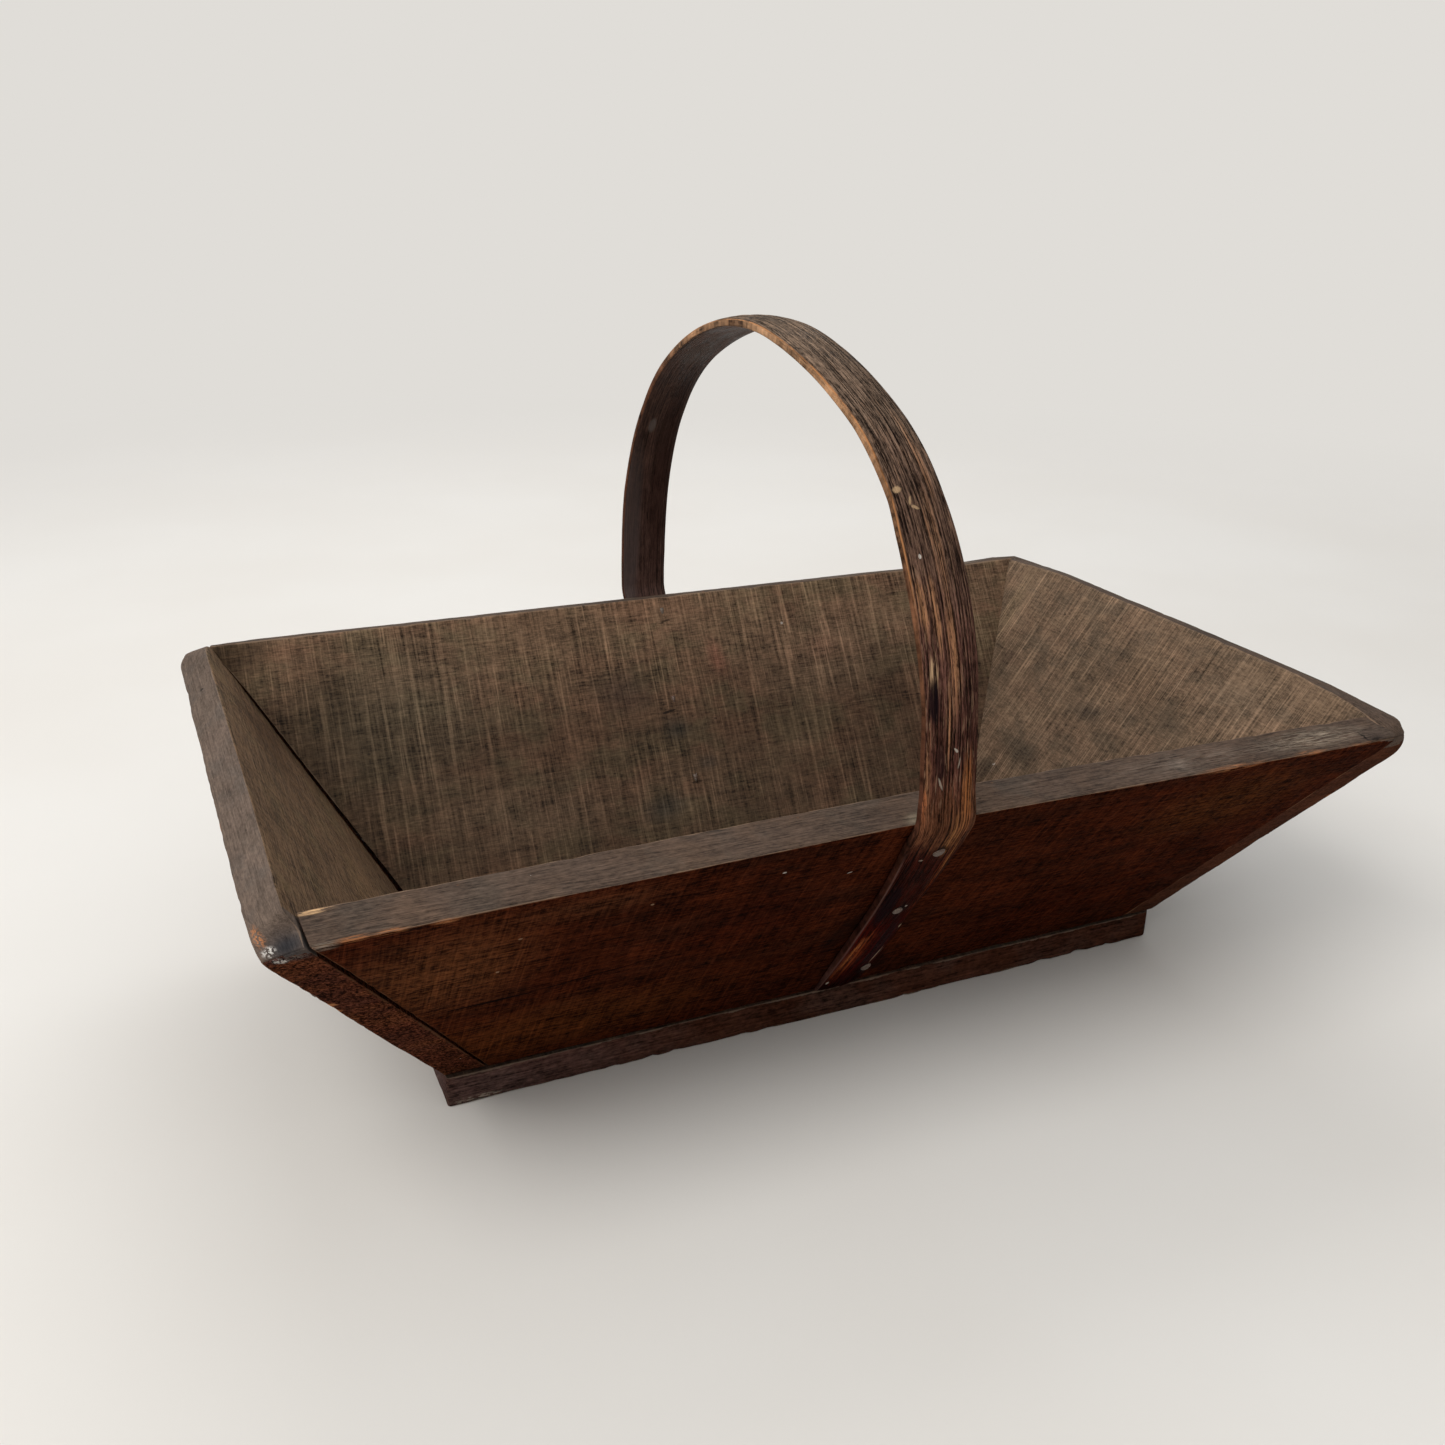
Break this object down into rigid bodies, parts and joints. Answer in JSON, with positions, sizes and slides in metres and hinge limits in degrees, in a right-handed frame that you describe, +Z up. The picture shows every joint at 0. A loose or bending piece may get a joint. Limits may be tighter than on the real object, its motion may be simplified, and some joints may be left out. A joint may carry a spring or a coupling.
{
  "type": "garden trug",
  "caption": "Shallow wooden garden trug with outward-leaning nailed boards and a fixed bentwood hoop handle over the middle.",
  "frame": {"origin": "on the surface that the trug stands on, under its middle", "axes": "+X along the trug's length, +Y to the back across it, +Z up; the hoop stands in the plane x = 0"},
  "size_m": [0.489, 0.3272, 0.2905],
  "materials": {
    "base_wood": "aged dark grey-brown wood, matt",
    "side_wood": "aged dark brown wood with saw marks, matt",
    "end_wood": "aged dark brown wood, worn grey rim, matt",
    "hoop_wood": "split bentwood strip, dark red-brown, satin from handling",
    "nail_iron": "aged iron wire nails, dull"
  },
  "bodies": {
    "root": {"bottom_board": "base_wood", "front_board": "side_wood", "back_board": "side_wood", "left_end_board": "end_wood", "right_end_board": "end_wood", "handle_hoop": "hoop_wood", "handle_nails_front": "nail_iron", "handle_nails_back": "nail_iron", "corner_nails_front_left": "nail_iron", "corner_nails_front_right": "nail_iron", "corner_nails_back_left": "nail_iron", "corner_nails_back_right": "nail_iron", "base_nails_front": "nail_iron", "base_nails_back": "nail_iron", "base_nails_left": "nail_iron", "base_nails_right": "nail_iron"}
  },
  "joints": []
}
